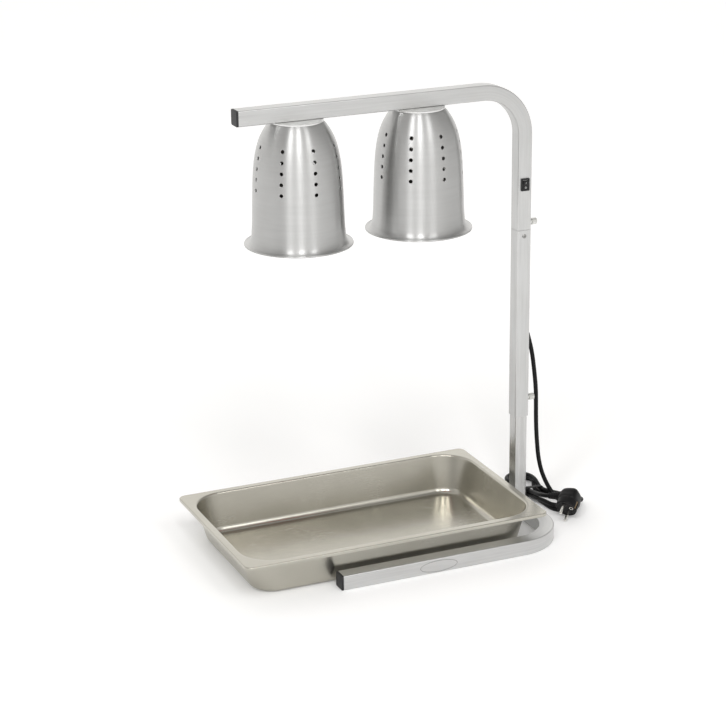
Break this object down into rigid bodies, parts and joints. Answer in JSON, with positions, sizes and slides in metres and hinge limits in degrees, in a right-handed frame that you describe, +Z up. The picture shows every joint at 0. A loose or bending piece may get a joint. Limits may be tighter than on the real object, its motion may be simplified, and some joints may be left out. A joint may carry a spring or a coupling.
{
  "type": "heat lamp warmer",
  "caption": "Food warmer with two bell-shaped heat lamps on a bent tube arm, a clamped telescoping column and a U-shaped base around a removable food pan.",
  "frame": {"origin": "centre of the bounding box's underside, on the table, without the free cord and plug", "axes": "+Z up, +X from the arm's free end towards the column, +Y away from the front leg and switch"},
  "size_m": [0.6715, 0.35, 0.75],
  "materials": {
    "tube_steel": "satin brushed stainless tube",
    "bright_steel": "bright steel fasteners",
    "cap_plastic": "black moulded end plugs",
    "switch_plastic": "black switch",
    "print_grey": "pale printed marks",
    "brass": "bare brass",
    "spun_metal": "spun and brushed shade metal",
    "porcelain": "glazed porcelain",
    "bulb_glass": "red infrared reflector bulb glass",
    "lead_insulation": "heat-proof lead insulation",
    "cord_black": "black rubber cord and plug",
    "pin_nickel": "nickel-plated pins",
    "pan_steel": "satin stainless pan"
  },
  "bodies": {
    "base": {"base_frame": "tube_steel", "leg_cap_front": "cap_plastic", "leg_cap_rear": "cap_plastic", "inner_column": "tube_steel", "cord_hank": "cord_black", "cord_tie": "cord_black", "plug_body": "cord_black", "plug_pins": "pin_nickel", "plug_earth_clips": "brass"},
    "mast": {"mast_tube": "tube_steel", "joiner_sleeve": "tube_steel", "joiner_screw": "bright_steel", "lower_boss": "bright_steel", "strain_relief": "cord_black", "cord_drop": "cord_black"},
    "lower_screw": {"lower_thumb_screw": "bright_steel"},
    "upper_screw": {"upper_thumb_screw": "bright_steel"},
    "arm": {"arm_tube": "tube_steel", "arm_cap": "cap_plastic", "upper_boss": "bright_steel", "switch_housing": "switch_plastic", "switch_terminals": "brass", "mounting_disc_left": "spun_metal", "mounting_disc_right": "spun_metal", "shade_left": "spun_metal", "shade_right": "spun_metal", "nipple_left": "brass", "nipple_right": "brass", "nipple_nuts": "brass", "lampholder_left": "porcelain", "lampholder_right": "porcelain", "bulb_glass_left": "bulb_glass", "bulb_glass_right": "bulb_glass", "bulb_cap_left": "brass", "bulb_cap_right": "brass", "lamp_leads": "lead_insulation"},
    "rocker": {"switch_rocker": "switch_plastic", "rocker_marks": "print_grey"},
    "pan": {"food_pan": "pan_steel"}
  },
  "joints": [
    {"name": "mast_height", "type": "slide", "parent": "base", "child": "mast", "axis": [0, 0, 1], "range_m": [-0.14, 0.02], "deforming": ["cord_drop"]},
    {"name": "arm_lift", "type": "slide", "parent": "mast", "child": "arm", "axis": [0, 0, 1], "range_m": [0, 0.035]},
    {"name": "lower_screw_turn", "type": "hinge", "parent": "mast", "child": "lower_screw", "pos_m": [0.2855, 0, 0.205], "axis": [1, 0, 0], "range_deg": [0, 360]},
    {"name": "upper_screw_turn", "type": "hinge", "parent": "arm", "child": "upper_screw", "pos_m": [0.2855, 0, 0.512], "axis": [1, 0, 0], "range_deg": [0, 360]},
    {"name": "rocker_tilt", "type": "hinge", "parent": "arm", "child": "rocker", "pos_m": [0.2655, -0.0115, 0.5795], "axis": [1, 0, 0], "range_deg": [-16, 0]},
    {"name": "pan_lift", "type": "slide", "parent": "base", "child": "pan", "axis": [0, 0, 1], "range_m": [0, 0.12]}
  ]
}
